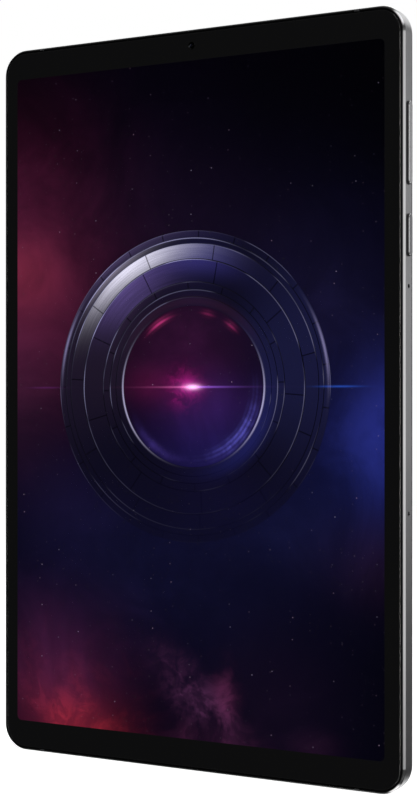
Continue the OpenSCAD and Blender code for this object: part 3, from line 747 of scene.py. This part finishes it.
def box(built, low, high, edge=0.0):
    """A box between two corners, with bevelled edges."""
    size = [b - a for a, b in zip(low, high)]
    centre = [(a + b) / 2 for a, b in zip(low, high)]
    matrix = Matrix.Translation(centre) @ Matrix.Diagonal((*size, 1.0))
    verts = bmesh.ops.create_cube(built, size=1.0, matrix=matrix)["verts"]
    if edge:
        edges = {e for v in verts for e in v.link_edges}
        bmesh.ops.bevel(built, geom=list(edges), offset=edge, segments=2, affect="EDGES")


def usb_contacts(built):
    """Two rows of gold contacts, let into the faces of the tongue.

    The contacts that carry power reach nearer to the mouth than the others.
    """
    low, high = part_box("usb_c_tongue")
    count, power_contacts = 12, (0, 3, 8, 11)
    pitch, width, proud = 0.5 * MM, 0.25 * MM, 0.03 * MM
    power_start, start, end = (low[2] + reach * MM for reach in (0.45, 0.8, 4.6))
    for face in (low[1], high[1]):
        for i in range(count):
            x = (low[0] + high[0]) / 2 + (i - (count - 1) / 2) * pitch
            box(
                built,
                (x - width / 2, face - proud, power_start if i in power_contacts else start),
                (x + width / 2, face + proud, end),
                0.01 * MM,
            )


def centre_of(node):
    """The middle of a node seen from the front: x and z."""
    low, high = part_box(node)
    return ((low[0] + high[0]) / 2, (low[2] + high[2]) / 2)


def front_of(node):
    """The y of a node's front, in millimetres."""
    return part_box(node)[0][1] / MM


def rear_of(node):
    """The y of a node's rear, in millimetres."""
    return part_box(node)[1][1] / MM


def turned(name, slot, centre, section, body=CASE):
    """A new piece turned from a section."""
    return add_piece(name, lambda built: lathe(built, centre, section), slot, body)


def add_front_camera():
    """A small lens in a stepped barrel, behind the hole in the border."""
    centre = centre_of("front_camera_lens")
    face, foot = front_of("front_camera_lens"), rear_of("front_camera_lens")
    bulge = dome(0.58, face + 0.16, face + 0.1, foot)
    glass = turned("front_lens_glass", "lens_glass", centre, bulge)
    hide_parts("front_camera_lens")
    turned("front_lens_dome", "ring_metal", centre, dome(0.13, face + 0.12, face, face + 0.2, 12))
    turned("front_lens_barrel", "black_plastic", centre, [
        (0.74, foot), (0.74, face + 0.12), (0.80, face + 0.04), (0.86, face + 0.04),
        (0.90, face), (0.95, face), (0.97, face + 0.03), (0.97, foot),
    ])
    turned("front_lens_ring", "ring_metal", centre, [
        (0.60, foot), (0.60, face + 0.06), (0.64, face),
        (0.68, face), (0.72, face + 0.06), (0.72, foot),
    ])


def add_rear_cameras():
    """Stepped barrels with bulged front lenses, seen through the rear covers."""
    centre = centre_of("autofocus_lens")
    face, foot = rear_of("autofocus_lens"), front_of("autofocus_lens")
    barrel = turned("autofocus_barrel", "black_plastic", centre, [
        (2.90, foot), (2.90, face - 0.10), (2.82, face), (2.52, face), (2.46, face - 0.14),
        (2.20, face - 0.14), (2.14, face - 0.28), (1.92, face - 0.28), (1.86, face - 0.44),
        (1.66, face - 0.44), (1.66, foot),
    ], "autofocus_lens")
    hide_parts("autofocus_lens")
    turned("autofocus_glass", "lens_glass", centre,
           dome(1.64, face - 0.5, face - 0.16, foot + 0.1), "autofocus_lens")
    turned("autofocus_trim", "ring_metal", centre, [
        (2.56, face - 0.02), (2.56, face + 0.03), (2.60, face + 0.06), (2.68, face + 0.06),
        (2.72, face + 0.03), (2.72, face - 0.02),
    ], "autofocus_lens")
    centre = centre_of("macro_camera")
    face = rear_of("macro_camera")
    turned("macro_barrel", "black_plastic", centre, [
        (2.74, face - 0.01), (2.74, face + 0.12), (2.66, face + 0.17), (2.20, face + 0.17),
        (2.12, face + 0.09), (1.66, face + 0.09), (1.58, face + 0.02), (1.40, face + 0.02),
        (1.40, face - 0.01),
    ])
    turned("macro_glass", "lens_glass", centre, dome(1.38, face + 0.02, face + 0.15, face - 0.01))


def add_flash_rings():
    """Fine stepped rings on the flash window."""
    centre = centre_of("flash_lens")
    face = rear_of("flash_lens")
    first, pitch, width = 0.2, 0.23, 0.15
    for i in range(6):
        inner = first + pitch * i
        turned(f"flash_ring_{i + 1}", "flash_plastic", centre, [
            (inner, face - 0.01), (inner, face + 0.025), (inner + width, face - 0.01),
        ])


# ---------------------------------------------------------------- studio

# Camera: level, at the tablet's mid height, to its right
CAMERA_TURN = math.radians(29.53)
CAMERA_DISTANCE = 470.3 * MM
CAMERA_SIDE = 5.16 * MM
SENSOR = 36.0
FOCAL_SHARE = 1673.4 / 800  # focal length as a share of the picture's height


def set_camera():
    """A level camera that sees the whole tablet from its front right."""
    right = Vector((math.cos(CAMERA_TURN), math.sin(CAMERA_TURN), 0))
    forward = Vector((-math.sin(CAMERA_TURN), math.cos(CAMERA_TURN), 0))
    data = bpy.data.cameras.new("camera")
    data.sensor_fit = "VERTICAL"
    data.sensor_height = SENSOR
    data.lens = SENSOR * FOCAL_SHARE
    data.clip_start = 0.01
    camera = bpy.data.objects.new("camera", data)
    target = Vector((0, FRONT, MID_HEIGHT))
    camera.location = target + right * CAMERA_SIDE - forward * CAMERA_DISTANCE
    camera.rotation_euler = (math.radians(90), 0, CAMERA_TURN)
    bpy.context.scene.collection.objects.link(camera)
    bpy.context.scene.camera = camera


# Soft boxes round the tablet: the turn from the front towards the right and the height in
# degrees, the radius of the even middle and of the soft edge, and the brightness. The
# dark front takes a share of their light away, and the rim box is added after it.
SOFT_BOXES = [
    (43, 0, 22, 34, 1.9),
    (58, 0, 4, 12, 1.0),
    (55, 50, 10, 24, 1.3),
    (55, -50, 10, 24, 1.0),
    (84, 2, 9, 22, 0.73),
    (148, 5.5, 8, 13, 0.92),
    (150, 1, 4, 8, 0.42),
    (178, 31, 12, 20, 1.6),
    (194, -29, 12, 20, 1.8),
    (100, 58, 12, 32, 1.0),
    (150, -68, 8, 22, 1.2),
    (122, -31, 6, 19, 1.2),
    (-105, 5, 10, 32, 0.5),
]
BASE_LIGHT = 0.045
DARK_FRONT = (-25, -5, 30, 56, 0.93)
RIM_BOX = (-55, -14, 4, 12, 0.7)
BACKDROP = 1.0  # the brightness of the white that the camera sees round the tablet


def direction_to(turn, height):
    """The way to a place in the studio, from its turn and height in degrees."""
    turn, height = math.radians(turn), math.radians(height)
    return (
        math.sin(turn) * math.cos(height),
        -math.cos(turn) * math.cos(height),
        math.sin(height),
    )


def soft_light(g, direction, soft_box):
    """The brightness that one soft box sends from a direction."""
    turn, height, inner, outer, strength = soft_box
    facing = g.vector("DOT_PRODUCT", direction, direction_to(turn, height)).outputs["Value"]
    spot = g.smooth(facing, math.cos(math.radians(outer)), math.cos(math.radians(inner)))
    return g.times(spot, strength)


def set_world():
    """The soft boxes light the tablet, and the camera sees an even white behind it."""
    world = bpy.data.worlds.new("studio")
    bpy.context.scene.world = world
    world.use_nodes = True
    g = Graph(world.node_tree)
    direction = g.add("ShaderNodeTexCoord").outputs["Generated"]
    boxes = g.plus(BASE_LIGHT, *[soft_light(g, direction, soft_box) for soft_box in SOFT_BOXES])
    dimmed = g.times(boxes, g.minus(1.0, soft_light(g, direction, DARK_FRONT)))
    lighting = g.add("ShaderNodeBackground")
    set_sockets(lighting, Color=WHITE)
    g.put(lighting.inputs["Strength"], g.plus(dimmed, soft_light(g, direction, RIM_BOX)))
    backdrop = g.add("ShaderNodeBackground")
    set_sockets(backdrop, Color=WHITE, Strength=BACKDROP)
    choice = g.add("ShaderNodeMixShader")
    g.put(choice.inputs[0], g.add("ShaderNodeLightPath").outputs["Is Camera Ray"])
    g.tree.links.new(lighting.outputs[0], choice.inputs[1])
    g.tree.links.new(backdrop.outputs[0], choice.inputs[2])
    output = g.add("ShaderNodeOutputWorld")
    g.tree.links.new(choice.outputs[0], output.inputs["Surface"])


FLOOR_HALF = 6.0
FLOOR_FADE = (0.25, 1.2)  # how far from the tablet the floor turns into the backdrop
FLOOR_GLOW = 0.92


def add_floor():
    """A pale floor that fades into the backdrop."""
    mesh = bpy.data.meshes.new("floor")
    level = housing_low[2]
    corners = [
        (x * FLOOR_HALF, y * FLOOR_HALF, level) for x, y in ((-1, -1), (1, -1), (1, 1), (-1, 1))
    ]
    mesh.from_pydata(corners, [], [(0, 1, 2, 3)])
    floor = bpy.data.objects.new("floor", mesh)
    bpy.context.scene.collection.objects.link(floor)
    material, g = new_material("floor")
    coords = g.object_coords()
    paper = g.add("ShaderNodeBsdfPrincipled")
    set_sockets(paper, Roughness=0.9, Emission_Color=WHITE, Emission_Strength=FLOOR_GLOW)
    grain = g.noise(coords, 300.0, 4.0, 0.6)
    g.put(paper.inputs["Base Color"], g.mix(grain, (0.80, 0.80, 0.80, 1), (0.86, 0.86, 0.86, 1)))
    glow = g.add("ShaderNodeEmission")
    set_sockets(glow, Strength=BACKDROP)
    blend = g.add("ShaderNodeMixShader")
    far = g.smooth(g.vector("LENGTH", coords).outputs["Value"], *FLOOR_FADE)
    g.put(blend.inputs[0], far)
    g.tree.links.new(paper.outputs[0], blend.inputs[1])
    g.tree.links.new(glow.outputs[0], blend.inputs[2])
    g.finish(blend.outputs[0])
    mesh.materials.append(material)
    floor.visible_glossy = False
    floor.visible_diffuse = False
    floor.visible_transmission = False


dress_nodes()
add_piece("usb_contacts", usb_contacts, "gold_plate")
add_front_camera()
add_rear_cameras()
add_flash_rings()
set_camera()
set_world()
add_floor()
bpy.context.scene.view_settings.view_transform = "Standard"
